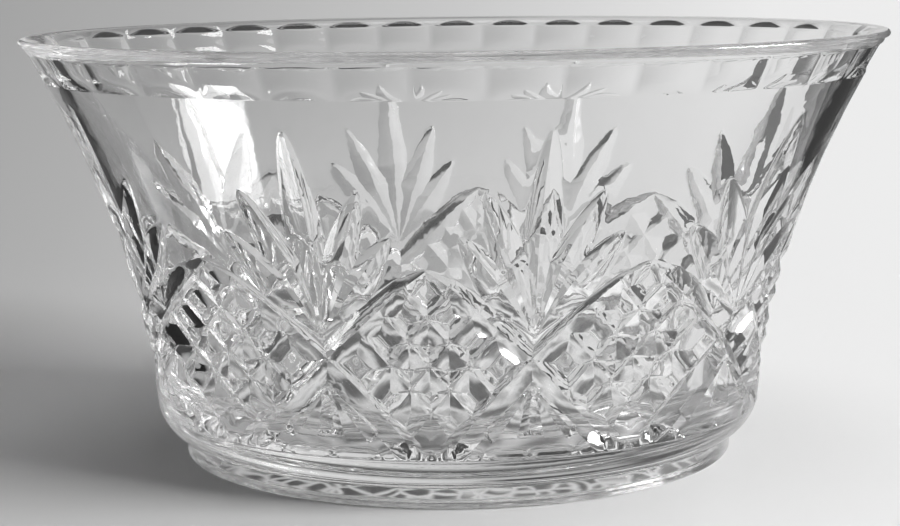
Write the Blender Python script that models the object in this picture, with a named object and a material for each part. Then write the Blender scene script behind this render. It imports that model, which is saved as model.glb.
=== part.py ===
# Oval cut-glass champagne chiller: a flared bowl on a low oval foot ring, both in clear crystal.
# Metres, +Z up, origin on the table under the middle. The long axis is X and the front is -Y.
import math

import bpy
from mathutils import Vector
from mathutils.geometry import delaunay_2d_cdt

# Driving dimensions
RIM_LENGTH = 0.356
RIM_WIDTH = 0.259
HEIGHT = 0.1775
BASE_LENGTH = 0.2585                  # length of the wall where it ends above the foot
WALL_THICKNESS = 0.0075
FLOOR_THICKNESS = 0.011
FOOT_SETBACK = 0.0115                 # how far the foot stands in from the base of the wall
FOOT_HEIGHT = 0.0085
FOOT_RING_WIDTH = 0.015               # radial width of the glass ring
JOINT_GAP = 0.0003                    # between the bowl and the ring under it

# Cut pattern
MOTIFS = 8                            # fans round the wall, at equal angles about the middle
THUMBPRINTS = 36                      # shallow panels under the rim, at equal steps round the oval
FIRST_FAN_DEGREES = 16.1              # from the front toward +X
CUT_DEPTH = 0.4 * WALL_THICKNESS      # deepest V cut
THUMBPRINT_DEPTH = 0.16 * WALL_THICKNESS
LEAVES = ((-0.70, 0.620), (-0.477, 0.713), (0.0, 0.844), (0.477, 0.713), (0.70, 0.620))
LATTICE_SHARES = (0.295, 0.5, 0.705)  # grooves across each diamond

# Proportions that follow the driving dimensions
WIDTH_RATIO = RIM_WIDTH / RIM_LENGTH
FIRST_FAN = math.radians(FIRST_FAN_DEGREES)
FOOT_HALF = 0.5 * BASE_LENGTH - FOOT_SETBACK
UNDERSIDE = FOOT_HEIGHT + JOINT_GAP
WALL_START = 0.120 * HEIGHT           # wall begins above the rounded lower edge
NODE_Z = 0.346 * HEIGHT               # where the crossed cuts meet
CROSS_Z = 0.546 * HEIGHT              # upper meeting of neighbouring fans
LOW_CROSS_Z = 0.132 * HEIGHT          # lower meeting of neighbouring fans
FAN_ROOT_Z = 0.400 * HEIGHT
FLUTE_ROOT_Z = 0.288 * HEIGHT
FLUTE_END_Z = 0.182 * HEIGHT
PATTERN_TOP = 0.872 * HEIGHT
BAND_BOTTOM = 0.903 * HEIGHT          # thumbprint band
BAND_TOP = 0.958 * HEIGHT
FLARE_LINEAR = 0.19                   # straight share of the flare, the rest is curved

# Fineness of the facets
TILE_STEPS = 12                       # corners along the top and bottom of one motif
LOOP_STEPS = 72                       # corners of the plain rings
THUMBPRINT_STEPS = 4                  # corners across one thumbprint


def outer_half_length(z):
    """Half length of the outside of the wall at height z."""
    t = (z - WALL_START) / (HEIGHT - WALL_START)
    t = min(max(t, 0.0), 1.0)
    flare = FLARE_LINEAR * t + (1.0 - FLARE_LINEAR) * t * t
    return 0.5 * (BASE_LENGTH + (RIM_LENGTH - BASE_LENGTH) * flare)


def oval_point(half_length, half_width, angle):
    """Point of an oval at a polar angle measured from the front toward +X."""
    s = math.sin(angle)
    c = math.cos(angle)
    reach = 1.0 / math.hypot(s / half_length, c / half_width)
    return reach * s, -reach * c


def wall_point(angle, z, depth):
    """Point on the outside of the wall, moved into the glass by depth."""
    a = outer_half_length(z)
    b = a * WIDTH_RATIO
    x, y = oval_point(a, b, angle)
    step = 0.001 * HEIGHT
    slope = (outer_half_length(z + step) - outer_half_length(z - step)) / (2.0 * step)
    flat = Vector((x / (a * a), y / (b * b), 0.0)).normalized()
    normal = Vector((flat.x, flat.y, -slope)).normalized()
    return Vector((x, y, z)) - normal * depth


def even_angles(count):
    return [2.0 * math.pi * i / count for i in range(count)]


def even_step_angles(count, start):
    """Polar angles at equal steps of length round the rim, the first one at start."""
    fine = 7200
    turn = [2.0 * math.pi * i / fine + start for i in range(fine + 1)]
    points = [Vector(oval_point(0.5 * RIM_LENGTH, 0.5 * RIM_WIDTH, a)) for a in turn]
    travelled = [0.0]
    for before, after in zip(points, points[1:]):
        travelled.append(travelled[-1] + (after - before).length)
    angles = []
    i = 0
    for k in range(count):
        goal = travelled[-1] * k / count
        while travelled[i + 1] < goal:
            i += 1
        share = (goal - travelled[i]) / (travelled[i + 1] - travelled[i])
        angles.append(turn[i] + share * (turn[i + 1] - turn[i]))
    return angles


class Cut:
    """Straight V cut on the flat motif, deepest along its middle line."""

    def __init__(self, kind, start, end, half_width, depth):
        self.kind = kind
        self.start = Vector(start)
        self.length = (Vector(end) - self.start).length
        self.along = (Vector(end) - self.start) / self.length
        self.across = Vector((-self.along.y, self.along.x))
        self.half_width = half_width
        self.depth = depth

    def strength(self, t):
        """Share of the full depth and width at t along the cut."""
        if self.kind == "leaf":
            return math.sin(math.pi * t)
        if self.kind == "arm":
            return 0.4 + 0.6 * math.sin(math.pi * t)
        if self.kind == "flute":
            return 0.15 + 0.85 * t
        return 1.0

    def at(self, t, side):
        """Point at t along the cut; side is -1 or 1 on its edges and 0 on its middle line."""
        reach = side * self.half_width * self.strength(t)
        return self.start + self.along * (t * self.length) + self.across * reach

    def depth_at(self, point):
        offset = point - self.start
        t = offset.dot(self.along) / self.length
        if t < -1e-6 or t > 1.0 + 1e-6:
            return 0.0
        t = min(max(t, 0.0), 1.0)
        away = abs(offset.dot(self.across))
        return self.depth * max(self.strength(t) - away / self.half_width, 0.0)


class Motif:
    """One fan with its crossed cuts and half of the diamond on each side, laid out flat.

    Places on it are in half widths of the motif, so that x runs from -1 to 1.
    """

    def __init__(self):
        mean_radius = 0.5 * outer_half_length(NODE_Z) * (1.0 + WIDTH_RATIO)
        self.half_width = math.pi / MOTIFS * mean_radius
        self.merge = 0.006
        self.cuts = []
        self.points = []
        self.edges = []
        self.add_arms_and_lattice()
        self.add_fan()
        self.add_flutes()
        self.add_borders()
        self.add_filling()

    def place(self, x, z):
        return Vector((x, z / self.half_width))

    def depth_at(self, point):
        return max(cut.depth_at(point) for cut in self.cuts)

    def corner(self, point):
        """Number of the corner at a point; corners closer than merge are one."""
        for i, other in enumerate(self.points):
            if (other - point).length < self.merge:
                return i
        x = point.x
        if abs(x) > 1.0 - self.merge:
            x = math.copysign(1.0, x)
        self.points.append(Vector((x, point.y)))
        return len(self.points) - 1

    def add_line(self, line):
        """Chain of corners; those outside the motif are dropped."""
        chain = [self.corner(p) for p in line if abs(p.x) < 1.0 + self.merge]
        for i, k in zip(chain, chain[1:]):
            if i != k:
                self.edges.append((i, k))

    def add_cut(self, cut, stations, edge_stations):
        self.cuts.append(cut)
        self.add_line([cut.at(t, 0.0) for t in stations])
        for side in (-1.0, 1.0):
            self.add_line([cut.at(t, side) for t in edge_stations])

    def add_arms_and_lattice(self):
        node = self.place(0.0, NODE_Z)
        middle = [0.5 * (a + b) for a, b in zip(LATTICE_SHARES, LATTICE_SHARES[1:])]
        half_gap = 0.5 * (LATTICE_SHARES[1] - LATTICE_SHARES[0])
        edge = LATTICE_SHARES[0] - half_gap
        for side in (-1.0, 1.0):
            up = self.place(side, CROSS_Z) - node
            down = self.place(side, LOW_CROSS_Z) - node
            spacing = abs(up.cross(down)) / max(up.length, down.length)
            for arm in (up, down):
                cut = Cut("arm", node, node + arm, 0.11, CUT_DEPTH)
                self.add_cut(cut, (0.0, 0.15, 0.4, 0.65, 0.87, 1.0), (0.15, 0.4, 0.65, 0.87))
            for share in LATTICE_SHARES:
                for across, along in ((down, up), (up, down)):
                    start = node + across * share
                    end = start + along * (1.0 - share)
                    cut = Cut("groove", start, end, half_gap * spacing, 0.8 * CUT_DEPTH)
                    self.add_cut(cut, (0.0, 1.0), ())
            for first, second in ((0, 0), (0, 1), (1, 0)):
                self.corner(node + down * middle[first] + up * middle[second])
            for share in (edge, *middle):
                self.corner(node + down * edge + up * share)
                self.corner(node + up * edge + down * share)

    def add_fan(self):
        root = self.place(0.0, FAN_ROOT_Z)
        tips = [self.place(share, level * HEIGHT) for share, level in LEAVES]
        stations = (0.0, 0.14, 0.3, 0.5, 0.7, 0.86, 1.0)
        for tip in tips:
            self.add_cut(Cut("leaf", root, tip, 0.145, CUT_DEPTH), stations, stations)
        for tip, other in zip(tips, tips[1:]):
            shorter = min((tip - root).length, (other - root).length)
            middle = ((tip - root).normalized() + (other - root).normalized()).normalized()
            self.add_line([root + middle * (shorter * t) for t in (0.14, 0.3, 0.48)])

    def add_flutes(self):
        root = self.place(0.0, FLUTE_ROOT_Z)
        shelf = 0.007 * HEIGHT / self.half_width
        for share in (-0.27, 0.0, 0.27):
            cut = Cut("flute", root, self.place(share, FLUTE_END_Z), 0.115, CUT_DEPTH)
            self.add_cut(cut, (0.0, 0.35, 0.7, 1.0), (0.35, 0.7, 1.0))
            end = [cut.at(1.0, side) for side in (-1.0, 0.0, 1.0)]
            self.add_line(end)
            self.add_line([point + cut.along * shelf for point in end])

    def add_borders(self):
        for z in (WALL_START, PATTERN_TOP):
            self.add_line([self.place(2.0 * i / TILE_STEPS - 1.0, z) for i in range(TILE_STEPS + 1)])
        for side in (-1.0, 1.0):
            self.add_line([self.place(side, z) for z in (WALL_START, PATTERN_TOP)])

    def add_filling(self):
        """Corners on the plain glass so that it follows the curve of the wall."""
        rows = 11
        columns = 8
        clear = 0.1
        placed = list(self.points)
        for j in range(1, rows):
            z = WALL_START + (PATTERN_TOP - WALL_START) * j / rows
            for i in range(columns + 1):
                point = self.place(2.0 * i / columns - 1.0, z)
                if self.depth_at(point) > 0.0:
                    continue
                if min((point - other).length for other in placed) > clear:
                    self.corner(point)

    def facets(self):
        """Triangles of the flat motif, with a corner wherever two lines meet."""
        result = delaunay_2d_cdt(self.points, self.edges, [], 0, self.merge)
        points = result[0]
        kept = []
        for triangle in result[2]:
            a, b, c = (points[i] for i in triangle)
            if (b - a).cross(c - a) > 1e-4 * self.merge:
                kept.append(triangle)
        return points, kept


class Shell:
    """Closed glass body built up from rings of corners."""

    def __init__(self):
        self.corners = []
        self.faces = []

    def add_corner(self, point):
        self.corners.append(Vector(point))
        return len(self.corners) - 1

    def oval_ring(self, half_length, half_width, z):
        """Plain ring as a list of (angle, corner)."""
        ring = []
        for angle in even_angles(LOOP_STEPS):
            x, y = oval_point(half_length, half_width, angle)
            ring.append((angle, self.add_corner((x, y, z))))
        return ring

    def join(self, ring, other):
        """Triangles between two rings whose corners may stand at different angles."""
        full = 2.0 * math.pi
        lower = sorted((a % full, i) for a, i in ring)
        upper = sorted((a % full, i) for a, i in other)
        lower.append((lower[0][0] + full, lower[0][1]))
        upper.append((upper[0][0] + full, upper[0][1]))
        i = 0
        j = 0
        while i < len(lower) - 1 or j < len(upper) - 1:
            at_end = j == len(upper) - 1
            if at_end or (i < len(lower) - 1 and lower[i + 1][0] <= upper[j + 1][0]):
                self.faces.append((lower[i][1], lower[i + 1][1], upper[j][1]))
                i += 1
            else:
                self.faces.append((lower[i][1], upper[j + 1][1], upper[j][1]))
                j += 1

    def join_all(self, rings):
        for ring, other in zip(rings, rings[1:]):
            self.join(ring, other)

    def close(self, ring, z, facing_up):
        """Flat end: a fan of triangles to a corner in the middle of the ring."""
        middle = self.add_corner((0.0, 0.0, z))
        corners = [i for _, i in sorted(ring)]
        for i, k in zip(corners, corners[1:] + corners[:1]):
            self.faces.append((i, k, middle) if facing_up else (k, i, middle))


def add_pattern(shell):
    """Cut wall: the motif repeated round the oval. Gives its bottom and top rings."""
    motif = Motif()
    flat, triangles = motif.facets()
    pitch = 2.0 * math.pi / MOTIFS
    lowest = min(point.y for point in flat) + motif.merge
    highest = max(point.y for point in flat) - motif.merge
    fine = 10000
    known = {}
    bottom = []
    top = []
    for k in range(MOTIFS):
        numbers = []
        for point in flat:
            turn = round((k + 0.5 * point.x) * fine) % (MOTIFS * fine)
            key = (turn, round(point.y * fine))
            if key not in known:
                angle = FIRST_FAN + pitch * turn / fine
                on_border = point.y < lowest or point.y > highest
                depth = 0.0 if on_border else motif.depth_at(point)
                corner = shell.add_corner(wall_point(angle, point.y * motif.half_width, depth))
                known[key] = corner
                if point.y < lowest:
                    bottom.append((angle, corner))
                if point.y > highest:
                    top.append((angle, corner))
            numbers.append(known[key])
        for triangle in triangles:
            shell.faces.append(tuple(numbers[i] for i in triangle))
    return bottom, top


def add_thumbprints(shell):
    """Band of shallow hollows under the rim. Gives its rings from the bottom up."""
    count = THUMBPRINTS * THUMBPRINT_STEPS
    start = FIRST_FAN - math.pi / MOTIFS
    angles = even_step_angles(count, start)
    rings = []
    for j in range(5):
        z = BAND_BOTTOM + (BAND_TOP - BAND_BOTTOM) * j / 4.0
        hollow_up = math.sin(math.pi * j / 4.0)
        ring = []
        for i, angle in enumerate(angles):
            hollow_across = math.sin(math.pi * (i % THUMBPRINT_STEPS) / THUMBPRINT_STEPS)
            depth = THUMBPRINT_DEPTH * hollow_up * hollow_across
            ring.append((angle, shell.add_corner(wall_point(angle, z, depth))))
        rings.append(ring)
    return rings


def add_lower_edge(shell):
    """Rounded edge between the flat underside and the wall."""
    rings = []
    for turn in (0.0, 25.0, 50.0, 72.0):
        out = math.sin(math.radians(turn))
        up = 1.0 - math.cos(math.radians(turn))
        reach = FOOT_HALF + FOOT_SETBACK * (0.1 + 0.9 * out)
        z = UNDERSIDE + (WALL_START - UNDERSIDE) * up
        rings.append(shell.oval_ring(reach, reach * WIDTH_RATIO, z))
    return rings


def add_rim(shell):
    """Rolled rim, thicker than the wall below it."""
    bead = 0.5 * (HEIGHT - BAND_TOP) * 0.62
    middle_z = HEIGHT - bead
    across = 0.5 * WALL_THICKNESS
    outside = 0.5 * RIM_LENGTH
    rings = []
    for turn in (-60.0, -20.0, 25.0, 62.0, 90.0, 118.0, 155.0, 200.0):
        c = math.cos(math.radians(turn))
        s = math.sin(math.radians(turn))
        inset = across * (1.0 - c)
        z = middle_z + bead * s
        rings.append(shell.oval_ring(outside - inset, outside * WIDTH_RATIO - inset, z))
    return rings


def add_inside(shell):
    """Smooth inside of the wall, rounded into the floor. Rings from the rim down."""
    floor = UNDERSIDE + FLOOR_THICKNESS
    bend = 0.13 * HEIGHT
    rings = []
    for j in range(9):
        z = BAND_TOP + (floor + bend - BAND_TOP) * j / 8.0
        a = outer_half_length(z)
        rings.append(shell.oval_ring(a - WALL_THICKNESS, a * WIDTH_RATIO - WALL_THICKNESS, z))
    a = outer_half_length(floor + bend)
    for turn in (25.0, 50.0, 72.0, 90.0):
        inset = WALL_THICKNESS + bend * (1.0 - math.cos(math.radians(turn)))
        z = floor + bend * (1.0 - math.sin(math.radians(turn)))
        rings.append(shell.oval_ring(a - inset, a * WIDTH_RATIO - inset, z))
    return rings


def build_bowl():
    shell = Shell()
    lower_edge = add_lower_edge(shell)
    bottom, top = add_pattern(shell)
    band = add_thumbprints(shell)
    rim = add_rim(shell)
    inside = add_inside(shell)
    shell.close(lower_edge[0], UNDERSIDE, False)
    shell.join_all(lower_edge + [bottom])
    shell.join_all([top] + band + rim + inside)
    shell.close(inside[-1], UNDERSIDE + FLOOR_THICKNESS, True)
    return shell


def build_foot_ring():
    """Oval ring of glass with a flat underside and bevelled edges."""
    shell = Shell()
    a = FOOT_HALF
    b = a * WIDTH_RATIO
    bevel = 0.12 * FOOT_HEIGHT
    section = (
        (bevel, 0.0),
        (0.0, bevel),
        (0.0, FOOT_HEIGHT - bevel),
        (bevel, FOOT_HEIGHT),
        (FOOT_RING_WIDTH - bevel, FOOT_HEIGHT),
        (FOOT_RING_WIDTH, FOOT_HEIGHT - bevel),
        (FOOT_RING_WIDTH, bevel),
        (FOOT_RING_WIDTH - bevel, 0.0),
    )
    rings = [shell.oval_ring(a - inset, b - inset, z) for inset, z in section]
    shell.join_all(rings + [rings[0]])
    return shell


def crystal(name):
    """Clear lead crystal, fire polished."""
    material = bpy.data.materials.new(name)
    material.use_nodes = True
    shader = material.node_tree.nodes["Principled BSDF"]
    shader.inputs["Base Color"].default_value = (0.95, 0.96, 0.97, 1.0)
    shader.inputs["Roughness"].default_value = 0.02
    shader.inputs["IOR"].default_value = 1.54
    shader.inputs["Transmission Weight"].default_value = 1.0
    return material


def add_node(name, shell):
    mesh = bpy.data.meshes.new(name)
    mesh.from_pydata(shell.corners, [], shell.faces)
    mesh.validate()
    mesh.materials.append(crystal(name + "_crystal"))
    node = bpy.data.objects.new(name, mesh)
    bpy.context.scene.collection.objects.link(node)


for old in list(bpy.data.objects):
    bpy.data.objects.remove(old, do_unlink=True)
add_node("bowl", build_bowl())
add_node("foot_ring", build_foot_ring())
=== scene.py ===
import math
import bmesh
import bpy
import numpy as np
from mathutils import Matrix, Vector
from mathutils.geometry import delaunay_2d_cdt


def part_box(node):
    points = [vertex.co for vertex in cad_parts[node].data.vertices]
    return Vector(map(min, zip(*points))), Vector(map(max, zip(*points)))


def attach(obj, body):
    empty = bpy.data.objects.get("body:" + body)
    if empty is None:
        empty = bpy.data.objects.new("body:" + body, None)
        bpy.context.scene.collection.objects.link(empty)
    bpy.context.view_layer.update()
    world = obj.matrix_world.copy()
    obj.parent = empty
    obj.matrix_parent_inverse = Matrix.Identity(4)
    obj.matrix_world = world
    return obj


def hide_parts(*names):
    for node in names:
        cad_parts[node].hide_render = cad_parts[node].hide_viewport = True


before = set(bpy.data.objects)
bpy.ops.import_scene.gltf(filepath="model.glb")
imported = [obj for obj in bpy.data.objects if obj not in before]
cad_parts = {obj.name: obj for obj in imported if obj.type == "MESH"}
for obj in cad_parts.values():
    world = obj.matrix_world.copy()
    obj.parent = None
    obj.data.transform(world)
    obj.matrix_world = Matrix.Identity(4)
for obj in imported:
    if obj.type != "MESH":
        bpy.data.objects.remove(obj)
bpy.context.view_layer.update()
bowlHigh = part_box("bowl")[1]
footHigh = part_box("foot_ring")[1]

mm = 0.001
height = bowlHigh.z
rimHalfLength = bowlHigh.x
widthRatio = bowlHigh.y / bowlHigh.x

# the oval body, mostly shares of its own height
body = {
    "wallStart": 0.120,        # the wall begins above the rounded lower edge
    "footSetback": 11.5 * mm,
    "flareLinear": 0.19,       # straight share of the flare
    "wallThick": 7.5 * mm,
    "floorThick": 11.0 * mm,
    "floorBend": 0.13,         # rounding between the wall and the floor
    "lip": 0.45 * mm,          # small step under the cut zone
    "lipShape": ((0.12, 0.12), (0.5, 0.3), (0.88, 0.5), (1.0, 0.8)),  # share of the step, millimetres down
    "edgeCurve": ((0.75, 1.5), (0.25, 6)),  # shares and powers of the rounding down to the foot
    "edgeRows": 15,            # mesh rows of that rounding
    "footSide": (0.75, 0.5, 0.3),  # mesh rows on the outside of the foot, in foot heights
    "footRing": 15.0 * mm,
    "footUnder": (0.25, 0.5, 0.75),  # mesh rows under it
    "footInside": 0.4,         # and one inside
    "footFillet": 1.4 * mm,
    "joinFillet": 2.0 * mm,    # where the ring was joined hot to the bowl
    "filletRows": 8,
    "hollowRows": (0.8, 0.6, 0.4, 0.2),  # mesh rings of the hollow's ceiling
    "wallRows": 22,            # mesh rows down the inside
    "bendRows": 14,
    "floorRows": (0.85, 0.7, 0.55, 0.4, 0.25, 0.12),  # mesh rings of the floor inside the bowl
    "columns": 56,             # mesh columns under each fan
    "valleyAngle": math.radians(14),  # valleys sharper than this stay crisp
    "ridgeAngle": math.radians(24),
}
baseHalf = footHigh.x + body["footSetback"]
wallStartZ = body["wallStart"] * height

# cuts of one fan and of the half diamond at each side of it
cuts = {
    "fans": 8,
    "firstFan": math.radians(16.1),
    "nodeZ": 0.342,            # crossing of the long cuts
    "crossZ": 0.546,           # neighbouring fans meet above
    "lowCrossZ": 0.094,        # and would meet below, under the ledge
    "rootZ": 0.400,
    "leaves": ((-0.70, 0.620), (-0.477, 0.713), (0.0, 0.844), (0.477, 0.713), (0.70, 0.620)),
    "leafHalf": 0.170,         # in half widths of the fan
    "leafDeep": 3.3 * mm,
    "leafFull": 0.48,          # share of its length where a leaf is widest
    "leafTaper": 0.56,         # power of the taper to its tip
    "pointed": 0.06,           # width left at pointed ends
    "armHalf": 0.135,
    "armDeep": 4.1 * mm,
    "armEnds": 0.75,           # width of the long cuts at the crossing
    "armFade": (0.8, 0.2, 0.5),  # near its end a long cut narrows: from here, over this share, by this much
    "latticeZ": (0.226, 0.330, 0.434),  # where the lines of the diamond cross between two fans
    "latticeSlope": 0.268,     # their rise for each half width
    "latticeHalf": 0.128,
    "latticeDeep": 2.6 * mm,
    "latticeHollow": 1.15,     # 1 is a straight V
    "fluteRootZ": 0.288,
    "fluteEndZ": 0.180,
    "flutes": ((-0.43, 0.085), (0.0, 0.130), (0.43, 0.085)),
    "fluteDeep": 3.3 * mm,
    "fluteTaper": 0.8,
    "beads": (0.0, 0.45, 1.0),  # small hollows under the flutes and the crossing
    "beadZ": 0.1385,
    "beadSize": (0.062, 0.046),
    "beadDeep": 1.0 * mm,
    "bottomZ": 0.1268,
    "topZ": 0.872,
    "runOut": {"arm": (0.128, 0.168), "lattice": (0.160, 0.215)},  # heights at which these cuts grow shallow
    "mitre": {"leaf": 0.72, "arm": 0.70, "flute": 0.80},  # straight share of the sides, the rest is hollow
    "hollow": {"leaf": 3.3, "arm": 2.8, "flute": 2.6},  # its power: high is flat inside, steep at the edge
    "round": 0.22 * mm,        # fire polish takes the ridges down
    "step": 0.0225,            # mesh step along the edges of the cuts
    "shoulder": 0.013,         # and to both sides of a ridge
    "fill": 0.050,             # mesh step on the open facets
}


def wallHalf(z):
    t = np.clip((z - wallStartZ) / (height - wallStartZ), 0.0, 1.0)
    straight = body["flareLinear"]
    return baseHalf + (rimHalfLength - baseHalf) * (straight * t + (1 - straight) * t * t)


slopeStep = 1e-4


def wallSlope(z):
    return (wallHalf(z + slopeStep) - wallHalf(z - slopeStep)) / (2 * slopeStep)


def oval(halfLength, halfWidth, angle):
    s = np.sin(angle)
    c = np.cos(angle)
    reach = 1.0 / np.hypot(s / halfLength, c / halfWidth)
    return reach * s, -reach * c


def onWall(angle, z, depth):
    # point on the outside of the wall, moved into the glass by depth
    a = wallHalf(z)
    b = a * widthRatio
    x, y = oval(a, b, angle)
    slope = wallSlope(z)
    nx = x / (a * a)
    ny = y / (b * b)
    flat = np.hypot(nx, ny)
    size = np.sqrt(1.0 + slope * slope)
    x = x - depth * nx / flat / size
    y = y - depth * ny / flat / size
    return np.stack([x, y, z + depth * slope / size], -1)


fanPitch = 2 * math.pi / cuts["fans"]
fanHalf = 0.5 * fanPitch * 0.5 * float(wallHalf(cuts["nodeZ"] * height)) * (1 + widthRatio)
levelOf = height / fanHalf     # heights on the flat fan are in half widths too


def straightCuts():
    # kind, start, end, half width, depth; the left side mirrors the right
    node = (0.0, cuts["nodeZ"])
    found = []
    for endZ in (cuts["crossZ"], cuts["lowCrossZ"]):
        found.append(("arm", node, (1.0, endZ), cuts["armHalf"], cuts["armDeep"]))
    for x, z in cuts["leaves"]:
        found.append(("leaf", (0.0, cuts["rootZ"]), (x, z), cuts["leafHalf"], cuts["leafDeep"]))
    for x, half in cuts["flutes"]:
        end = (x, cuts["fluteEndZ"])
        found.append(("flute", (0.0, cuts["fluteRootZ"]), end, half, cuts["fluteDeep"]))
    return found


def strength(kind, t):
    # share of the full width and depth along a cut
    pointed = cuts["pointed"]
    if kind == "leaf":
        full = cuts["leafFull"]
        return np.maximum(pointed, np.minimum(t / full, ((1 - t) / (1 - full)) ** cuts["leafTaper"]))
    if kind == "arm":
        ends = cuts["armEnds"]
        start, length, loss = cuts["armFade"]
        return ends + (1 - ends) * np.sin(math.pi * t) - loss * np.clip(t - start, 0, 1) / length
    return pointed + (1 - pointed) * t ** cuts["fluteTaper"]


def runOut(kind, y):
    low, high = (z * levelOf for z in cuts["runOut"][kind])
    rise = np.clip((y - low) / (high - low), 0, 1)
    return rise * rise * (3 - 2 * rise)


def eachCut(x, y):
    # depth of every cut at these points, and the side of its valley; number 0 is the plain wall
    ax = np.abs(x)
    deep = [np.zeros_like(ax)]
    side = [np.zeros(ax.shape, int)]
    for kind, start, end, half, full in straightCuts():
        sx, sy = start[0], start[1] * levelOf
        dx, dy = end[0] - sx, end[1] * levelOf - sy
        long = math.hypot(dx, dy)
        t = ((ax - sx) * dx + (y - sy) * dy) / long / long
        n = (-(ax - sx) * dy + (y - sy) * dx) / long / half
        width = strength(kind, np.clip(t, 0, 1))
        mitre = cuts["mitre"][kind]
        u = np.abs(n) / width
        value = full * width * (1 - mitre * u - (1 - mitre) * u ** cuts["hollow"][kind])
        if kind == "arm":
            value = value * runOut("arm", y)
        deep.append(np.where((t < 0) | (t > 1), -1.0, value))
        side.append((n > 0).astype(int))
    z = y / levelOf - cuts["nodeZ"]
    inside = (z < (cuts["crossZ"] - cuts["nodeZ"]) * ax) & (z > (cuts["lowCrossZ"] - cuts["nodeZ"]) * ax)
    slope = cuts["latticeSlope"] * levelOf
    for way in (slope, -slope):
        for lineZ in cuts["latticeZ"]:
            off = (y - lineZ * levelOf + way * (ax - 1)) / math.hypot(1, slope) / cuts["latticeHalf"]
            value = cuts["latticeDeep"] * (1 - np.abs(off) ** cuts["latticeHollow"]) * runOut("lattice", y)
            deep.append(np.where(inside, value, -1.0))
            side.append((off > 0).astype(int))
    return np.array(deep), np.array(side)


def cutLines():
    # start and end of every cut, in the order of eachCut
    lines = [(start, end) for kind, start, end, half, full in straightCuts()]
    for way in (cuts["latticeSlope"], -cuts["latticeSlope"]):
        lines += [((1.0, lineZ), (0.0, lineZ + way)) for lineZ in cuts["latticeZ"]]
    return lines


def faceAt(x, y):
    deep, side = eachCut(x, y)
    best = deep.argmax(0)
    return 2 * best + np.take_along_axis(side, best[None], 0)[0]


def depthAt(x, y):
    # ridges between neighbouring cuts are rounded by a smooth maximum
    deep = eachCut(x, y)[0]
    total = deep[0]
    for value in deep[1:]:
        overlap = np.clip(cuts["round"] - np.abs(total - value), 0, None)
        total = np.maximum(total, value) + overlap * overlap / (4 * cuts["round"])
    for x0 in cuts["beads"]:
        dx = (np.abs(x) - x0) / cuts["beadSize"][0]
        dy = (y - cuts["beadZ"] * levelOf) / cuts["beadSize"][1]
        total = np.maximum(total, cuts["beadDeep"] * (1 - dx * dx - dy * dy))
    return total


def edgePoints(low, high):
    # points on the valleys and ridges of the cuts, found by halving between two mesh points
    lowFace = faceAt(low[:, 0], low[:, 1])
    highFace = faceAt(high[:, 0], high[:, 1])
    valley = lowFace // 2 == highFace // 2
    for _ in range(14):        # far finer than the mesh
        middle = 0.5 * (low + high)
        same = faceAt(middle[:, 0], middle[:, 1]) == lowFace
        low = np.where(same[:, None], middle, low)
        high = np.where(same[:, None], high, middle)
    return 0.5 * (low + high), valley


def shoulderPoints(ridge):
    # two rows beside each ridge, for its rounding
    small = 1e-3
    x, y = ridge[:, 0], ridge[:, 1]
    order = np.argsort(eachCut(x, y)[0], axis=0)
    first, second = order[-1], order[-2]
    pick = np.arange(len(x))
    slope = []
    for dx, dy in ((small, 0), (0, small)):
        ahead = eachCut(x + dx, y + dy)[0]
        behind = eachCut(x - dx, y - dy)[0]
        gain = ahead[first, pick] - ahead[second, pick]
        slope.append(gain - (behind[first, pick] - behind[second, pick]))
    slope = np.stack(slope, -1)
    slope /= np.maximum(np.linalg.norm(slope, axis=1), 1e-12)[:, None]
    return np.concatenate([ridge + cuts["shoulder"] * slope, ridge - cuts["shoulder"] * slope])


def thinOut(points, gap, taken):
    # drops points that lie closer than gap to one in taken
    kept = []
    for x, y in points:
        i, j = int(math.floor(x / gap)), int(math.floor(y / gap))
        close = False
        for di in (-1, 0, 1):
            for dj in (-1, 0, 1):
                for px, py in taken.get((i + di, j + dj), ()):
                    if (px - x) ** 2 + (py - y) ** 2 < gap * gap:
                        close = True
        if not close:
            taken.setdefault((i, j), []).append((x, y))
            kept.append((x, y))
    return kept


def rehash(points, gap):
    # points sorted into squares, for thinOut
    taken = {}
    for x, y in points:
        taken.setdefault((int(math.floor(x / gap)), int(math.floor(y / gap))), []).append((x, y))
    return taken


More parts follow.
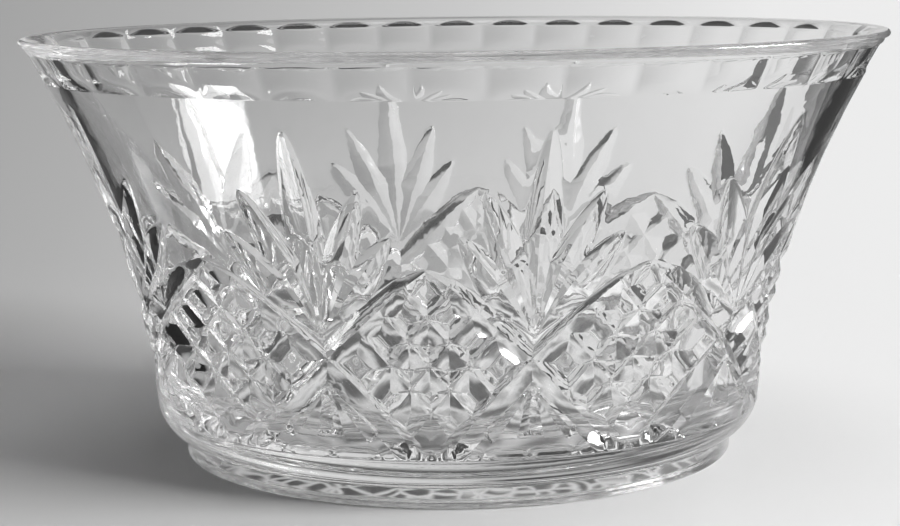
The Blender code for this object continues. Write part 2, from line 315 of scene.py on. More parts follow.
def flatFan():
    # mesh of one fan, laid out flat; the right half is found first and mirrored
    y0 = cuts["bottomZ"] * levelOf
    y1 = cuts["topZ"] * levelOf
    step = cuts["step"]
    columns = round(1.0 / step)
    rows = round((y1 - y0) / step)
    xs = np.linspace(0.0, 1.0, columns + 1)
    ys = np.linspace(y0, y1, rows + 1)
    grid = np.stack(np.meshgrid(xs, ys), -1)
    face = faceAt(grid[..., 0].ravel(), grid[..., 1].ravel()).reshape(grid.shape[:2])
    differ = face[:, 1:] != face[:, :-1]
    across, acrossValley = edgePoints(grid[:, :-1][differ], grid[:, 1:][differ])
    differ = face[1:] != face[:-1]
    along, alongValley = edgePoints(grid[:-1][differ], grid[1:][differ])
    edge = np.concatenate([across, along])
    valley = np.concatenate([acrossValley, alongValley])
    shoulder = shoulderPoints(edge[~valley])
    gap = 0.5 * step
    taken = {}
    border = [(x, y) for x in np.linspace(0.0, 1.0, body["columns"] // 2 + 1) for y in (y0, y1)]
    kept = thinOut(border, gap, taken)
    onSide = edge[(edge[:, 0] > 1 - 1e-9) | (edge[:, 0] < 1e-9)]
    kept += thinOut([tuple(p) for p in onSide], gap, taken)
    kept += thinOut([(x, y) for x in (0.0, 1.0) for y in ys[1:-1]], gap, taken)

    def inner(points, room):
        clear = (points[:, 0] > room) & (points[:, 0] < 1 - room)
        clear &= (points[:, 1] > y0 + room) & (points[:, 1] < y1 - room)
        return [tuple(p) for p in points[clear]]

    kept += thinOut(inner(edge[valley], gap), gap, taken)
    closer = 0.85 * gap        # for the rows along the ridges
    kept += thinOut(inner(edge[~valley], gap), closer, rehash(kept, closer))
    kept += thinOut(inner(shoulder, gap), closer, rehash(kept, closer))
    fill = cuts["fill"]
    rowGap = 0.87 * fill       # rows of even triangles
    spread = []
    for k, y in enumerate(np.arange(y0 + 0.5 * fill, y1 - 0.4 * fill, rowGap)):
        shift = 0.5 * fill * (k % 2)
        spread += [(x, y) for x in np.arange(0.6 * fill + shift, 1 - 0.4 * fill, fill)]
    kept += thinOut(spread, 0.5 * fill, rehash(kept, 0.5 * fill))
    points = [Vector(p) for p in kept] + [Vector((-x, y)) for x, y in kept if x > 1e-9]
    result = delaunay_2d_cdt(points, [], [], 0, 1e-7)
    flat = np.array([tuple(p) for p in result[0]])
    faces = np.array(result[2])
    a, b, c = flat[faces[:, 0]], flat[faces[:, 1]], flat[faces[:, 2]]
    area = (b - a)[:, 0] * (c - a)[:, 1] - (b - a)[:, 1] * (c - a)[:, 0]
    return flat, faces[area > 1e-9]


class Glass:
    # one closed mesh, put together from rings and from the fans
    def __init__(self):
        self.points = []
        self.faces = []
        self.flat = {}     # place of a point on the flat fan
        self.cutOf = {}    # cut that a face lies in

    def add(self, points):
        first = len(self.points)
        self.points += [tuple(p) for p in np.asarray(points, float)]
        return list(range(first, len(self.points)))

    def turn(self, index):
        x, y, z = self.points[index]
        return math.atan2(x, -y)

    def join(self, ringA, ringB):
        # strip between two closed rings, whatever their counts
        if len(ringA) == len(ringB):
            for k in range(len(ringA)):
                m = (k + 1) % len(ringA)
                self.faces.append((ringA[k], ringA[m], ringB[m], ringB[k]))
            return
        start = self.turn(ringA[0])
        order = sorted(range(len(ringB)), key=lambda k: (self.turn(ringB[k]) - start) % (2 * math.pi))
        ringB = [ringB[k] for k in order]
        angleA = [(self.turn(p) - start) % (2 * math.pi) for p in ringA] + [2 * math.pi]
        angleA[0] = 0.0
        angleB = [(self.turn(p) - start) % (2 * math.pi) for p in ringB]
        angleB.append(angleB[0] + 2 * math.pi)
        i = j = 0
        while i < len(ringA) or j < len(ringB):
            a, b = ringA[i % len(ringA)], ringB[j % len(ringB)]
            if j == len(ringB) or (i < len(ringA) and angleA[i + 1] <= angleB[j + 1]):
                i += 1
                self.faces.append((a, ringA[i % len(ringA)], b))
            else:
                j += 1
                self.faces.append((a, ringB[j % len(ringB)], b))

    def lay(self, ring, rows):
        for row in rows:
            following = self.add(row)
            self.join(ring, following)
            ring = following
        return ring

    def close(self, ring, point):
        middle = self.add([point])[0]
        for k in range(len(ring)):
            self.faces.append((ring[k], ring[(k + 1) % len(ring)], middle))

    def wheelRun(self, mesh):
        # place across and along the cut, kept at the corners of its faces for the marks of the wheel
        lines = cutLines()
        run = np.zeros((len(mesh.loops), 3), np.float32)
        for index, cut in self.cutOf.items():
            (sx, sz), (ex, ez) = lines[cut - 1]
            dx, dy = ex - sx, (ez - sz) * levelOf
            long = math.hypot(dx, dy)
            for corner in mesh.polygons[index].loop_indices:
                x, y = self.flat[mesh.loops[corner].vertex_index]
                x, y = x - sx, y - sz * levelOf
                run[corner] = ((y * dx - x * dy) / long * fanHalf, (x * dx + y * dy) / long * fanHalf, cut)
        mesh.attributes.new("wheelRun", "FLOAT_VECTOR", "CORNER").data.foreach_set("vector", run.ravel())

    def build(self, name, valleyAngle, ridgeAngle):
        mesh = bpy.data.meshes.new(name)
        mesh.from_pydata(self.points, [], self.faces)
        mesh.validate()
        bm = bmesh.new()
        bm.from_mesh(mesh)
        bmesh.ops.recalc_face_normals(bm, faces=bm.faces)
        openEdges = sum(1 for e in bm.edges if len(e.link_faces) != 2)
        volume = bm.calc_volume(signed=True)
        for face in bm.faces:
            face.smooth = True
        for edge in bm.edges:  # valleys stay crisp, fire polished ridges are soft
            turn = edge.calc_face_angle_signed(0.0)
            edge.smooth = -valleyAngle < turn < ridgeAngle
        bm.to_mesh(mesh)
        bm.free()
        self.wheelRun(mesh)
        piece = bpy.data.objects.new(name, mesh)
        bpy.context.scene.collection.objects.link(piece)
        mesh.calc_loop_triangles()
        print(name, len(mesh.loop_triangles), "triangles,", openEdges, "open edges")
        print("volume of the glass", round(volume * 1e6), "ml")
        return piece


def evenArc(count, firstAngle):
    # angles at equal steps along the rim oval, starting at firstAngle
    fine = np.linspace(0, 2 * math.pi, 7201)  # every twentieth of a degree
    x, y = oval(rimHalfLength, rimHalfLength * widthRatio, fine)
    run = np.concatenate([[0.0], np.cumsum(np.hypot(np.diff(x), np.diff(y)))])
    start = np.interp(firstAngle % (2 * math.pi), fine, run)
    return np.interp((start + run[-1] * np.arange(count) / count) % run[-1], run, fine)


def fanRings(glass):
    # the eight fans side by side; returns the lower and the upper border
    flat, faces = flatFan()
    leftSide = [k for k in np.argsort(flat[:, 1]) if flat[k, 0] < -1 + 1e-6]
    rightSide = [k for k in np.argsort(flat[:, 1]) if flat[k, 0] > 1 - 1e-6]
    shared = dict(zip(rightSide, leftSide))
    inside = [k for k in range(len(flat)) if k not in shared]
    depth = depthAt(flat[:, 0], flat[:, 1])
    middle = flat[faces].mean(1)
    cutOf = faceAt(middle[:, 0], middle[:, 1]) // 2
    number = []
    for fan in range(cuts["fans"]):
        angle = cuts["firstFan"] + fanPitch * (fan + 0.5 * flat[:, 0])
        placed = onWall(angle, flat[:, 1] * fanHalf, depth)
        ids = glass.add(placed[inside])
        number.append(dict(zip(inside, ids)))
        glass.flat.update({i: (abs(flat[k, 0]), flat[k, 1]) for k, i in zip(inside, ids)})
    low = []
    high = []
    y0, y1 = flat[:, 1].min(), flat[:, 1].max()
    bottom = sorted([k for k in inside if flat[k, 1] < y0 + 1e-6], key=lambda k: flat[k, 0])
    top = sorted([k for k in inside if flat[k, 1] > y1 - 1e-6], key=lambda k: flat[k, 0])
    for fan in range(cuts["fans"]):
        here = dict(number[fan])
        following = number[(fan + 1) % cuts["fans"]]
        for right, left in shared.items():
            here[right] = following[left]
        for face, cut in zip(faces, cutOf):
            if cut:
                glass.cutOf[len(glass.faces)] = int(cut)
            glass.faces.append(tuple(here[k] for k in face))
        low += [here[k] for k in bottom]
        high += [here[k] for k in top]
    print("one fan:", len(flat), "points,", len(faces), "triangles")
    return low, high


def ringAt(angles, halfLength, halfWidth, z):
    x, y = oval(halfLength, halfWidth, angles)
    return np.stack([x, y, np.full_like(x, z)], -1)


# the rolled rim, the row of thumbprints under it and the smooth inside
rim = {
    "prints": 36,
    "firstPrint": math.radians(-7.0),
    "bandZ": (0.904, 0.972),
    "printDeep": 1.15 * mm,
    # up the band, share of the depth: scooped below, a short roof above
    "printShape": ((0.0, 0.0), (0.03, 0.16), (0.07, 0.34), (0.12, 0.53), (0.18, 0.71), (0.25, 0.86),
                   (0.33, 0.96), (0.42, 1.0), (0.55, 0.985), (0.70, 0.94), (0.82, 0.88), (0.89, 0.83),
                   (0.92, 0.74), (0.95, 0.50), (0.98, 0.19), (1.0, 0.0)),
    "margin": (1.0 * mm, 0.2 * mm),  # plain rows beside the band
    "roll": (1.7 * mm, 1.5 * mm),  # outer roll, across and up
    "crease": 1.95,            # where the roll meets the wall, in roll heights from the top
    "rollTurn": (-62, 90),     # degrees
    "rollRows": 15,
    "innerTurn": 165,          # degrees at which the lip meets the inside of the wall
    "innerRise": 4.5 * mm,
    "innerRows": 13,
    "columns": 16,             # mesh columns in each thumbprint
}


def lowerEdge(glass, ring):
    # rounded lower edge of the bowl, the foot and the hollow under it
    angles = np.array([glass.turn(p) for p in ring])
    under = footHigh.z
    lip = body["lip"]
    rows = []
    for share, down in body["lipShape"]:
        z = cuts["bottomZ"] * height - down * mm
        a = float(wallHalf(z)) - share * lip
        rows.append(ringAt(angles, a, a * widthRatio, z))
    for s in np.linspace(0, 1, body["edgeRows"]):
        curve = sum(part * s ** power for part, power in body["edgeCurve"])
        a = baseHalf - (lip * (1 - s) + body["footSetback"] * curve)
        rows.append(ringAt(angles, a, a * widthRatio, wallStartZ + (under - wallStartZ) * s))
    ring = glass.lay(ring, rows)
    footA, footB = footHigh.x, footHigh.y
    fillet = body["footFillet"]
    quarter = np.linspace(0, math.pi / 2, body["filletRows"])
    corner = [(0.0, under * s) for s in body["footSide"]]
    corner += [(fillet * (1 - math.cos(t)), fillet * (1 - math.sin(t))) for t in quarter]
    width = body["footRing"]
    corner += [(width * s, 0.0) for s in body["footUnder"]]
    corner += [(width - fillet * (1 - math.sin(t)), fillet * (1 - math.cos(t))) for t in quarter]
    join = body["joinFillet"]
    corner += [(width, under * body["footInside"]), (width, under - join)]
    corner += [(width + join * (1 - math.cos(t)), under - join * (1 - math.sin(t))) for t in quarter[1:]]
    rows = [ringAt(angles[::2], footA - inset, footB - inset, z) for inset, z in corner]
    rows += [ringAt(angles[::2], (footA - width - join) * s, (footB - width - join) * s, under)
             for s in body["hollowRows"]]
    ring = glass.lay(ring, rows)
    glass.close(ring, (0, 0, under))


def upperEdge(glass, ring):
    # thumbprints, the rolled rim and the inside down to the floor
    angles = evenArc(rim["prints"] * rim["columns"], rim["firstPrint"])
    share = (np.arange(len(angles)) % rim["columns"]) / rim["columns"]
    across = 1 - (2 * share - 1) ** 2
    low, high = (z * height for z in rim["bandZ"])
    wide, narrow = rim["margin"]
    rollA, rollZ = rim["roll"]
    levels = [(low - wide, 0.0), (low - narrow, 0.0)]
    levels += [(low + (high - low) * v, rim["printDeep"] * share) for v, share in rim["printShape"]]
    levels += [(high + narrow, 0.0), (height - rim["crease"] * rollZ, 0.0)]
    ring = glass.lay(ring, [onWall(angles, np.full_like(angles, z), deep * across) for z, deep in levels])
    angles = angles[::2]
    rows = []
    first, last = rim["rollTurn"]
    for t in np.radians(np.linspace(first, last, rim["rollRows"])):
        a = -rollA + rollA * math.cos(t)
        rows.append(ringAt(angles, rimHalfLength + a, rimHalfLength * widthRatio + a,
                           height - rollZ + rollZ * math.sin(t)))
    slope = float(wallHalf(height) - wallHalf(height - slopeStep)) / slopeStep
    lean = math.sqrt(1 + slope * slope)
    rise = rim["innerRise"]
    end = math.radians(rim["innerTurn"])
    endZ = height - rise + rise * math.sin(end)
    reach = (rollA - (rimHalfLength - float(wallHalf(endZ))) - body["wallThick"] * lean) / math.cos(end)
    for t in np.radians(np.linspace(last, rim["innerTurn"], rim["innerRows"])[1:]):
        a = -rollA + reach * math.cos(t)
        rows.append(ringAt(angles, rimHalfLength + a, rimHalfLength * widthRatio + a,
                           height - rise + rise * math.sin(t)))
    floorZ = footHigh.z + body["floorThick"]
    bend = body["floorBend"] * height
    for z in np.linspace(endZ, floorZ + bend, body["wallRows"])[1:]:
        a = float(wallHalf(z))
        thick = body["wallThick"] * math.sqrt(1 + float(wallSlope(z)) ** 2)
        rows.append(ringAt(angles, a - thick, a * widthRatio - thick, z))
    a = float(wallHalf(floorZ + bend)) - body["wallThick"]
    b = float(wallHalf(floorZ + bend)) * widthRatio - body["wallThick"]
    for t in np.linspace(0, math.pi / 2, body["bendRows"])[1:]:
        inset = bend * (1 - math.cos(t))
        rows.append(ringAt(angles, a - inset, b - inset, floorZ + bend - bend * math.sin(t)))
    for s in body["floorRows"]:
        rows.append(ringAt(angles, (a - bend) * s, (b - bend) * s, floorZ))
    ring = glass.lay(ring, rows)
    glass.close(ring, (0, 0, floorZ))


glass = Glass()
lowRing, highRing = fanRings(glass)
lowerEdge(glass, lowRing)
upperEdge(glass, highRing)
bowl = glass.build("cut_crystal_bowl", body["valleyAngle"], body["ridgeAngle"])


def hexColour(text):
    # sRGB hex to linear
    parts = [int(text[k:k + 2], 16) / 255 for k in (1, 3, 5)]
    return tuple(c / 12.92 if c <= 0.04045 else ((c + 0.055) / 1.055) ** 2.4 for c in parts) + (1.0,)


def addNode(tree, kind, settings=None, links=None):
    # settings are attributes or sockets, links come from a node or from (node, output)
    node = tree.nodes.new(kind)
    for key, value in (settings or {}).items():
        if isinstance(key, str) and hasattr(node, key):
            setattr(node, key, value)
        else:
            node.inputs[key].default_value = value
    for key, source in (links or {}).items():
        source, output = source if isinstance(source, tuple) else (source, 0)
        tree.links.new(source.outputs[output], node.inputs[key])
    return node


# settings that several nodes share
smooth = {"interpolation_type": "SMOOTHSTEP"}
times = {"operation": "MULTIPLY"}
larger = {"operation": "MAXIMUM"}
plus = {"operation": "ADD"}
asFloat = {"data_type": "FLOAT"}


def softMask(tree, edges):
    # product of soft edges, each a coordinate and the values where it starts and is full
    mask = None
    for where, start, full in edges:
        edge = addNode(tree, "ShaderNodeMapRange", {**smooth, 1: start, 2: full}, {0: where})
        mask = edge if mask is None else addNode(tree, "ShaderNodeMath", times, {0: mask, 1: edge})
    return mask


def bothEdges(where, limits):
    # starts, is full, is full up to, ends
    start, full, stay, end = limits
    return [(where, start, full), (where, end, stay)]


def newMaterial(name):
    material = bpy.data.materials.new(name)
    material.use_nodes = True
    material.node_tree.nodes.clear()
    return material, material.node_tree


def stageObject(name, points, faces, material):
    mesh = bpy.data.meshes.new(name)
    mesh.from_pydata(points, [], faces)
    mesh.materials.append(material)
    thing = bpy.data.objects.new(name, mesh)
    bpy.context.scene.collection.objects.link(thing)
    return thing


# pressed and cut lead crystal, fire polished: clear, heavy, bright edges and black accents
crystalLook = {
    "colour": "#FFFFFF",
    "ior": 1.545,
    "scuff": 0.22,             # roughness of the worn ring that stands on the table
    "scuffHeight": 0.5 * mm,
    "scuffPatch": (0.35, 0.65),  # values of the grain between which the wear sets in
    "wave": 12.0 * mm,         # ripple left by the mould and the fire polish
    "waveHigh": 0.07 * mm,
    "waveFrom": (28.0 * mm, 75.0 * mm),  # the thick lower part came out of the mould calmer
    "waveLow": 0.15,           # share of the ripple there
    "waveTo": (168.5 * mm, 172.5 * mm),  # and the rim was melted smooth
    "waveRim": 0.08,           # share there
    "grain": 3.0 * mm,
    "grainHigh": 0.008 * mm,
    "wheel": (1.6 * mm, 40.0 * mm),  # marks of the wheel across and along a cut, drawn a little coarse
    "wheelApart": 7.3,         # keeps the marks of one cut unlike the next
    "wheelHigh": 0.022 * mm,
}


def crystalMaterial():
    look = crystalLook
    material, tree = newMaterial("lead crystal, cut and polished")
    place = (addNode(tree, "ShaderNodeTexCoord"), "Object")
    up = (addNode(tree, "ShaderNodeSeparateXYZ", None, {0: place}), "Z")

    # ripple, then grain, then marks of the wheel
    wave = addNode(tree, "ShaderNodeTexNoise", {"Scale": 1 / look["wave"], "Detail": 1.0}, {0: place})
    grain = addNode(tree, "ShaderNodeTexNoise", {"Scale": 1 / look["grain"], "Detail": 1.0}, {0: place})
    low, high = look["waveFrom"]
    calm = addNode(tree, "ShaderNodeMapRange", {1: low, 2: high, 3: look["waveLow"], 4: 1.0}, {0: up})
    low, high = look["waveTo"]
    rimCalm = addNode(tree, "ShaderNodeMapRange", {1: low, 2: high, 3: 1.0, 4: look["waveRim"]}, {0: up})
    calm = addNode(tree, "ShaderNodeMath", times, {0: calm, 1: rimCalm})
    ripple = addNode(tree, "ShaderNodeBump", {"Distance": look["waveHigh"]},
                     {"Height": wave, "Strength": calm})
    ripple = addNode(tree, "ShaderNodeBump", {"Distance": look["grainHigh"]},
                     {"Height": grain, "Normal": ripple, "Strength": rimCalm})
    across, along = look["wheel"]
    run = (addNode(tree, "ShaderNodeAttribute", {"attribute_name": "wheelRun"}), "Vector")
    stretch = (1 / across, 1 / along, look["wheelApart"])
    run = addNode(tree, "ShaderNodeVectorMath", {**times, 1: stretch}, {0: run})
    marks = addNode(tree, "ShaderNodeTexNoise", {"Scale": 1.0, "Detail": 1.0}, {0: run})
    ripple = addNode(tree, "ShaderNodeBump", {"Distance": look["wheelHigh"]},
                     {"Height": marks, "Normal": ripple})

    # worn underside
    worn = addNode(tree, "ShaderNodeMapRange", {1: 0.0, 2: look["scuffHeight"], 3: 1.0, 4: 0.0}, {0: up})
    low, high = look["scuffPatch"]
    scuff = addNode(tree, "ShaderNodeMapRange", {1: low, 2: high, 3: 0.0, 4: look["scuff"]}, {0: grain})
    rough = addNode(tree, "ShaderNodeMath", times, {0: worn, 1: scuff})
    clear = {"Base Color": hexColour(look["colour"]), "IOR": look["ior"], "Transmission Weight": 1.0}
    shader = addNode(tree, "ShaderNodeBsdfPrincipled", clear, {"Roughness": rough, "Normal": ripple})
    addNode(tree, "ShaderNodeOutputMaterial", None, {"Surface": shader})
    return material


bowl.data.materials.append(crystalMaterial())
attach(bowl, "root")
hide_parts("bowl", "foot_ring")
print("crystal set on", bowl.name)

oneWall = 2.5  # a look straight through one wall of glass meets two surfaces, any other look more
pastOneWall = {"operation": "GREATER_THAN", 1: oneWall}

# photographer's table top: matt white laminate, one pale seamless sheet; its colour greys towards the left
# as painted shade
tableLook = {
    "steps": 96,               # corners of the round sheet
    "rings": (0.3, 1.36, 11),  # first ring, growth and number, inside the edge
    "radius": 9.0,
    "below": 0.3 * mm,         # a hair of air under the foot
    "tones": ((0.0, "#A0A0A0"), (0.25, "#B3B3B3"), (0.5, "#CECECE"), (0.75, "#F0F0F0"), (1.0, "#F5F5F5")),
    "toneFrom": 0.95,          # the greys fan out from a point this far in front
    "toneNear": 0.4,           # and keep their width closer to it than this
    "spread": 0.36,            # sideways reach of the greys at one metre from it
    "lean": (0.055, -0.03),    # the greys lie a little to the left in front
    "roughness": 0.6,
}


def tableToneWithPaintedShade(tree, parts):
    # painted shade: greys across the table, pale at the right and darker towards the left
    right, back = (parts, "X"), (parts, "Y")
    shift, slant = tableLook["lean"]
    lean = addNode(tree, "ShaderNodeMath", {"operation": "MULTIPLY_ADD", 1: slant, 2: shift}, {0: back})
    shifted = addNode(tree, "ShaderNodeMath", plus, {0: right, 1: lean})
    away = addNode(tree, "ShaderNodeMath", {**plus, 1: tableLook["toneFrom"]}, {0: back})
    away = addNode(tree, "ShaderNodeMath", {**larger, 1: tableLook["toneNear"]}, {0: away})
    side = addNode(tree, "ShaderNodeMath", {"operation": "DIVIDE"}, {0: shifted, 1: away})
    spread = tableLook["spread"]
    across = addNode(tree, "ShaderNodeMapRange", {1: -spread, 2: spread}, {0: side})
    tone = addNode(tree, "ShaderNodeValToRGB", None, {0: across})
    ramp = tone.color_ramp.elements
    for k, (where, colour) in enumerate(tableLook["tones"]):
        stop = ramp[k] if k < 2 else ramp.new(where)
        stop.position = where
        stop.color = hexColour(colour)
    return tone


# painted light that the cuts throw under the bowl, and painted shade around it, seen through the glass only
glassLight = {
    "share": 0.60,             # of this light in what the glass shows of the table
    "sparkle": (34.0 * mm, 9.0 * mm),  # mesh of bright lines under the bowl, and under the foot in front
    "sparkleTone": ((0.02, 1.80), (0.10, 1.24)),  # between the lines and on them
    "lineWidth": 0.24,         # in cells of the mesh
    "bend": 12.0 * mm,         # the lines waver by this much
    "bendScale": 60.0,         # waves in a metre
    "front": (-15.0 * mm, -45.0 * mm),  # the mesh grows calmer towards the front
    "frontCalm": 0.55,
    "calm": 0.38,              # tone under the front of the bowl
    "plain": 0.62,             # tone where one wall alone is looked through
    "ring": (0.0965, 0.0645),  # the oval that the foot shows
    "ringSpan": (0.80, 0.86, 1.05, 1.12),
    "ringFront": (0.0, -20.0 * mm),  # it shows in front only
    "reach": (0.24, 0.10),     # distance from the middle where the light starts and is full
    "around": 0.78,            # tone further out
    "fanFrom": 0.682,          # sideways reaches fan out from a point this far in front
    # patches of painted shade on the table around the bowl: sideways reach at one metre, depth and amount
    "shades": (((-0.42, -0.36, -0.13, -0.05), (0.12, 0.20, 0.60, 0.95), 0.85),
               ((-0.42, -0.36, 0.01, 0.07), (0.11, 0.15, 0.30, 0.38), 1.0),
               ((0.0, 0.08, 0.45, 0.60), (-0.25, -0.15, 0.25, 0.40), 0.20)),
    "shadeTone": 0.26,
    # painted black patches on the table left of the picture, in place of black cloths there, seen through
    # the glass only: sideways reach and depth
    "blackPatches": (((-0.75, -0.70, -0.391, -0.385), (-0.07, -0.05, 0.42, 0.45)),
               ((-0.95, -0.92, -0.355, -0.345), (-0.07, -0.05, 0.25, 0.28))),
}


def lightMesh(tree, place):
    # painted light: wavering bright lines, a coarse mesh and a fine one
    look = glassLight
    bend = addNode(tree, "ShaderNodeTexNoise", {"Scale": look["bendScale"], "Detail": 1.0}, {0: place})
    waver = {"operation": "MULTIPLY_ADD", 1: (look["bend"], look["bend"], 0.0)}
    bent = addNode(tree, "ShaderNodeVectorMath", waver, {0: (bend, 1), 2: place})
    meshes = []
    for size, (dark, bright) in zip(look["sparkle"], look["sparkleTone"]):
        lines = {"feature": "DISTANCE_TO_EDGE", "Scale": 1 / size}
        cells = addNode(tree, "ShaderNodeTexVoronoi", lines, {0: bent})
        tones = {**smooth, 1: 0.0, 2: look["lineWidth"], 3: bright, 4: dark}
        meshes.append(addNode(tree, "ShaderNodeMapRange", tones, {0: cells}))
    return meshes


def underGlass(tree, place, parts, deepLook):
    # level of the painted light and shade that the glass shows of the table, and the painted black patches
    look = glassLight
    right, back = (parts, "X"), (parts, "Y")
    coarse, fine = lightMesh(tree, place)
    start, full = look["front"]
    front = addNode(tree, "ShaderNodeMapRange", {1: start, 2: full, 3: 0.0, 4: look["frontCalm"]}, {0: back})
    under = addNode(tree, "ShaderNodeMix", {**asFloat, 3: look["calm"]}, {0: front, 2: coarse})
    under = addNode(tree, "ShaderNodeMix", {**asFloat, 2: look["plain"]}, {0: deepLook, 3: under})

    # the fine mesh of painted light on the oval of the foot
    across, along = look["ring"]
    footRun = addNode(tree, "ShaderNodeVectorMath", {**times, 1: (1 / across, 1 / along, 0)}, {0: place})
    footRun = addNode(tree, "ShaderNodeVectorMath", {"operation": "LENGTH"}, {0: footRun})
    ring = softMask(tree, bothEdges((footRun, "Value"), look["ringSpan"]) + [(back, *look["ringFront"])])
    under = addNode(tree, "ShaderNodeMix", asFloat, {0: ring, 2: under, 3: fine})
    reach = addNode(tree, "ShaderNodeVectorMath", {"operation": "LENGTH"}, {0: place})
    near = softMask(tree, [((reach, "Value"), *look["reach"])])
    level = addNode(tree, "ShaderNodeMix", {**asFloat, 2: look["around"]}, {0: near, 3: under})

    # painted shade patches and painted black patches
    away = addNode(tree, "ShaderNodeMath", {**plus, 1: look["fanFrom"]}, {0: back})
    fan = addNode(tree, "ShaderNodeMath", {"operation": "DIVIDE"}, {0: right, 1: away})
    shade = None
    for sideways, depth, amount in look["shades"]:
        patch = softMask(tree, bothEdges(fan, sideways) + bothEdges(back, depth))
        patch = addNode(tree, "ShaderNodeMath", {**times, 1: amount}, {0: patch})
        shade = patch if shade is None else addNode(tree, "ShaderNodeMath", larger, {0: shade, 1: patch})
    level = addNode(tree, "ShaderNodeMix", {**asFloat, 3: look["shadeTone"]}, {0: shade, 2: level})
    # painted black patches, shown only through more than one wall
    first, second = (softMask(tree, bothEdges(fan, sideways) + bothEdges(back, depth))
                     for sideways, depth in look["blackPatches"])
    blackPatch = addNode(tree, "ShaderNodeMath", larger, {0: first, 1: second})
    blackPatch = addNode(tree, "ShaderNodeMath", times, {0: blackPatch, 1: deepLook})
    level = addNode(tree, "ShaderNodeMix", {**asFloat, 3: 0.0}, {0: blackPatch, 2: level})
    return level, blackPatch


def tableMaterial():
    material, tree = newMaterial("matt laminate table top")
    place = (addNode(tree, "ShaderNodeTexCoord"), "Object")
    parts = addNode(tree, "ShaderNodeSeparateXYZ", None, {0: place})
    path = addNode(tree, "ShaderNodeLightPath")
    deepLook = addNode(tree, "ShaderNodeMath", pastOneWall, {0: (path, "Ray Depth")})
    # pale table colour with painted shade towards the left
    tone = tableToneWithPaintedShade(tree, parts)
    matt = {"Roughness": tableLook["roughness"], "Specular IOR Level": 0.0}
    shader = addNode(tree, "ShaderNodeBsdfPrincipled", matt, {"Base Color": tone})
    level, blackPatch = underGlass(tree, place, parts, deepLook)
    # the glass sees the table partly as this glow: painted light and shade, not lit colour
    seen = addNode(tree, "ShaderNodeEmission", None, {"Color": tone, "Strength": level})
    share = addNode(tree, "ShaderNodeMath", {**larger, 1: glassLight["share"]}, {0: blackPatch})
    share = addNode(tree, "ShaderNodeMath", times, {0: share, 1: (path, "Is Transmission Ray")})
    mixed = addNode(tree, "ShaderNodeMixShader", None, {0: share, 1: shader, 2: seen})
    addNode(tree, "ShaderNodeOutputMaterial", None, {"Surface": mixed})
    return material


def studioFloor():
    steps = tableLook["steps"]
    first, growth, count = tableLook["rings"]
    rings = [first * growth ** k for k in range(count)] + [tableLook["radius"]]
    level = -tableLook["below"]
    points = [(0, 0, level)]
    faces = []
    for r in rings:
        points += [(r * math.sin(2 * math.pi * k / steps), -r * math.cos(2 * math.pi * k / steps), level)
                   for k in range(steps)]
    for k in range(steps):
        m = (k + 1) % steps
        faces.append((0, 1 + k, 1 + m))
        for row in range(len(rings) - 1):
            a = 1 + row * steps
            faces.append((a + k, a + steps + k, a + steps + m, a + m))
    floor = stageObject("studio_floor", points, faces, tableMaterial())


studioFloor()

# grey cards just outside the picture at the right, as for glass on a stage, so that the cuts get dark edges;
# the cards are not lit but glow an even dark grey, a painted dark reflection
wings = {
    "colour": "#3C3C3C",
    # depth behind the middle of the bowl, inner and outer edge
    "cards": ((0.12, 0.235, 0.48), (0.34, 0.305, 0.60), (0.70, 0.412, 0.75), (1.10, 0.530, 0.95)),
    "high": 0.24,
}


def greyCards():
    # painted dark reflection: an even glow, not lit
    material, tree = newMaterial("grey card, glowing dark grey")  # seen in the glass alone, as an even dark grey
    shader = addNode(tree, "ShaderNodeEmission", {"Color": hexColour(wings["colour"]), "Strength": 1.0})
    clear = addNode(tree, "ShaderNodeBsdfTransparent")
    path = addNode(tree, "ShaderNodeLightPath")
    deepLook = addNode(tree, "ShaderNodeMath", pastOneWall, {0: (path, "Ray Depth")})
    shown = addNode(tree, "ShaderNodeMath", larger, {0: deepLook, 1: (path, "Is Reflection Ray")})
    mixed = addNode(tree, "ShaderNodeMixShader", None, {0: shown, 1: clear, 2: shader})
    addNode(tree, "ShaderNodeOutputMaterial", None, {"Surface": mixed})
    points = []
    high = wings["high"]
    for y, inner, outer in wings["cards"]:
        points += [(inner, y, 0), (outer, y, 0), (outer, y, high), (inner, y, high)]
    faces = [tuple(range(k, k + 4)) for k in range(0, len(points), 4)]
    wing = stageObject("wings_right", points, faces, material)
    wing.visible_camera = False
    wing.visible_diffuse = False
    wing.visible_shadow = False


greyCards()
print("table top and cards set")

# the room: pale at eye level, dim towards the ceiling, one bright window at the right
# directions are unit vectors, so a height is the sine of its angle
roomLook = {
    "horizon": (0.38, 0.75),   # left and right
    "horizonSpan": (-0.45, 0.45),
    "ceiling": 0.05,
    "dimming": (0.24, 0.58),   # height at which it turns dim
    "leftWall": 0.50,
    "leftWallSpan": (-0.3, -0.8),
    "backRoom": 0.03,          # dark room behind the table, left of the picture's middle
    "backFrom": (-0.1, 0.15),
    "backRise": (0.05, 0.095),  # height at which it begins
    "backSides": (((0.0, -0.09), (0.27, 0.19)), ((-0.28, -0.42), (0.52, 0.40))),  # right edge and top, twice
    "seen": 0.86,              # pale backdrop for the eye
    "overhead": 2.0,
    "overheadSpan": (0.93, 0.97),
    "windowTurn": (57.0, 88.0),  # degrees from the front towards the right
    "windowRise": (13.5, 31.0),  # degrees above the table
    "windowSoft": (0.09, 0.015, 0.02),  # soft edges at the front, at the back, above and below, in radians
    "window": 37.2,
}


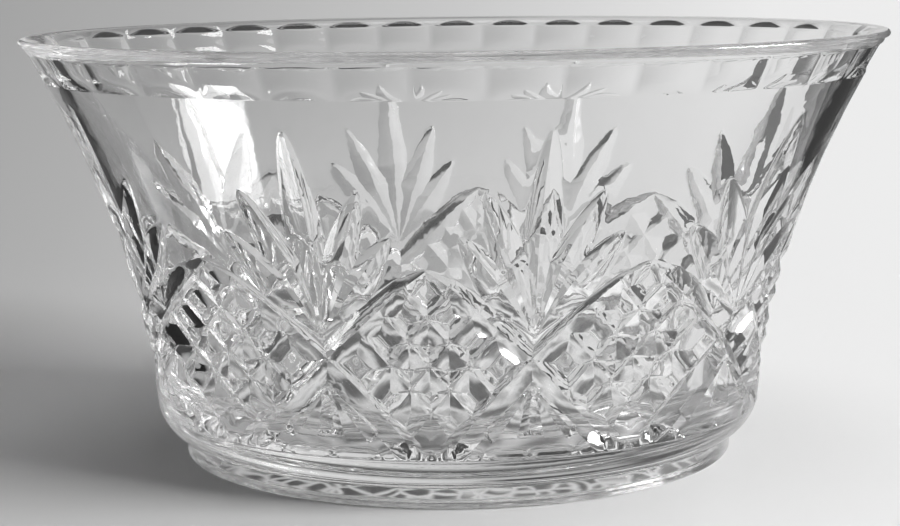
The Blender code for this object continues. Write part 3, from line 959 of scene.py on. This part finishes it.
def studioLight():
    look = roomLook
    world = bpy.data.worlds.new("studio_room")
    bpy.context.scene.world = world
    world.use_nodes = True
    tree = world.node_tree
    tree.nodes.clear()
    place = (addNode(tree, "ShaderNodeTexCoord"), "Generated")
    parts = addNode(tree, "ShaderNodeSeparateXYZ", None, {0: place})
    right, back, up = (parts, "X"), (parts, "Y"), (parts, "Z")
    path = addNode(tree, "ShaderNodeLightPath")

    # walls and ceiling
    (start, full), (left, bright) = look["horizonSpan"], look["horizon"]
    horizon = addNode(tree, "ShaderNodeMapRange", {**smooth, 1: start, 2: full, 3: left, 4: bright},
                      {0: right})
    dim = softMask(tree, [(up, *look["dimming"])])
    wall = addNode(tree, "ShaderNodeMix", {**asFloat, 3: look["ceiling"]}, {0: dim, 2: horizon})
    behind = softMask(tree, [(back, *look["backFrom"]), (up, *look["backRise"])])
    low, tall = (softMask(tree, [(right, *side), (up, *top)]) for side, top in look["backSides"])
    either = addNode(tree, "ShaderNodeMath", larger, {0: low, 1: tall})
    behind = addNode(tree, "ShaderNodeMath", times, {0: behind, 1: either})
    wall = addNode(tree, "ShaderNodeMix", {**asFloat, 3: look["backRoom"]}, {0: behind, 2: wall})
    start, full = look["leftWallSpan"]
    leftWall = addNode(tree, "ShaderNodeMapRange", {**smooth, 1: start, 2: full, 4: look["leftWall"]},
                       {0: right})
    leftWall = addNode(tree, "ShaderNodeMath", times, {0: leftWall, 1: dim})

    # overhead light, flagged off from the glass so that its thumbprints stay dark
    start, full = look["overheadSpan"]
    overhead = addNode(tree, "ShaderNodeMapRange", {**smooth, 1: start, 2: full, 4: look["overhead"]},
                       {0: up})
    flag = addNode(tree, "ShaderNodeMath", {"operation": "SUBTRACT", 0: 1.0},
                   {1: (path, "Is Transmission Ray")})
    overhead = addNode(tree, "ShaderNodeMath", times, {0: overhead, 1: flag})

    # window
    front = addNode(tree, "ShaderNodeMath", {**times, 1: -1.0}, {0: back})
    turn = addNode(tree, "ShaderNodeMath", {"operation": "ARCTAN2"}, {0: right, 1: front})
    rise = addNode(tree, "ShaderNodeMath", {"operation": "ARCSINE"}, {0: up})
    turn0, turn1 = (math.radians(v) for v in look["windowTurn"])
    rise0, rise1 = (math.radians(v) for v in look["windowRise"])
    softFront, softBack, softRise = look["windowSoft"]
    pane = softMask(tree, bothEdges(turn, (turn0, turn0 + softFront, turn1 - softBack, turn1))
                    + bothEdges(rise, (rise0, rise0 + softRise, rise1 - softRise, rise1)))
    pane = addNode(tree, "ShaderNodeMath", {**times, 1: look["window"]}, {0: pane})

    walls = addNode(tree, "ShaderNodeMath", plus, {0: wall, 1: leftWall})
    lights = addNode(tree, "ShaderNodeMath", plus, {0: overhead, 1: pane})
    level = addNode(tree, "ShaderNodeMath", plus, {0: walls, 1: lights})
    level = addNode(tree, "ShaderNodeMix", {**asFloat, 3: look["seen"]},
                    {0: (path, "Is Camera Ray"), 2: level})
    room = addNode(tree, "ShaderNodeBackground", {"Color": (1, 1, 1, 1)}, {"Strength": level})
    addNode(tree, "ShaderNodeOutputWorld", None, {"Surface": room})


studioLight()
print("room lit")

# viewpoint of the photograph: eye a little above the rim, a lens of about 61 mm
eye = {
    "place": (-0.0027, -0.6376, 0.21235),
    "pitch": 11.82,            # degrees down
    "roll": -0.72,
    "lens": 60.84,
    "sensor": 36.0,
    "nearest": 0.01,
    "bounces": {"max_bounces": 64, "transmission_bounces": 64, "glossy_bounces": 32},  # cut glass needs many
}
camera = bpy.data.cameras.new("photo_camera")
camera.lens = eye["lens"]
camera.sensor_width = eye["sensor"]
camera.clip_start = eye["nearest"]
cameraObject = bpy.data.objects.new("photo_camera", camera)
pitch = Matrix.Rotation(math.radians(90 - eye["pitch"]), 4, "X")
roll = Matrix.Rotation(math.radians(eye["roll"]), 4, "Z")
cameraObject.matrix_world = Matrix.Translation(eye["place"]) @ (pitch @ roll)
scene = bpy.context.scene
scene.collection.objects.link(cameraObject)
scene.camera = cameraObject
scene.view_settings.view_transform = "Standard"
for name, count in eye["bounces"].items():
    setattr(scene.cycles, name, count)
print("camera set")
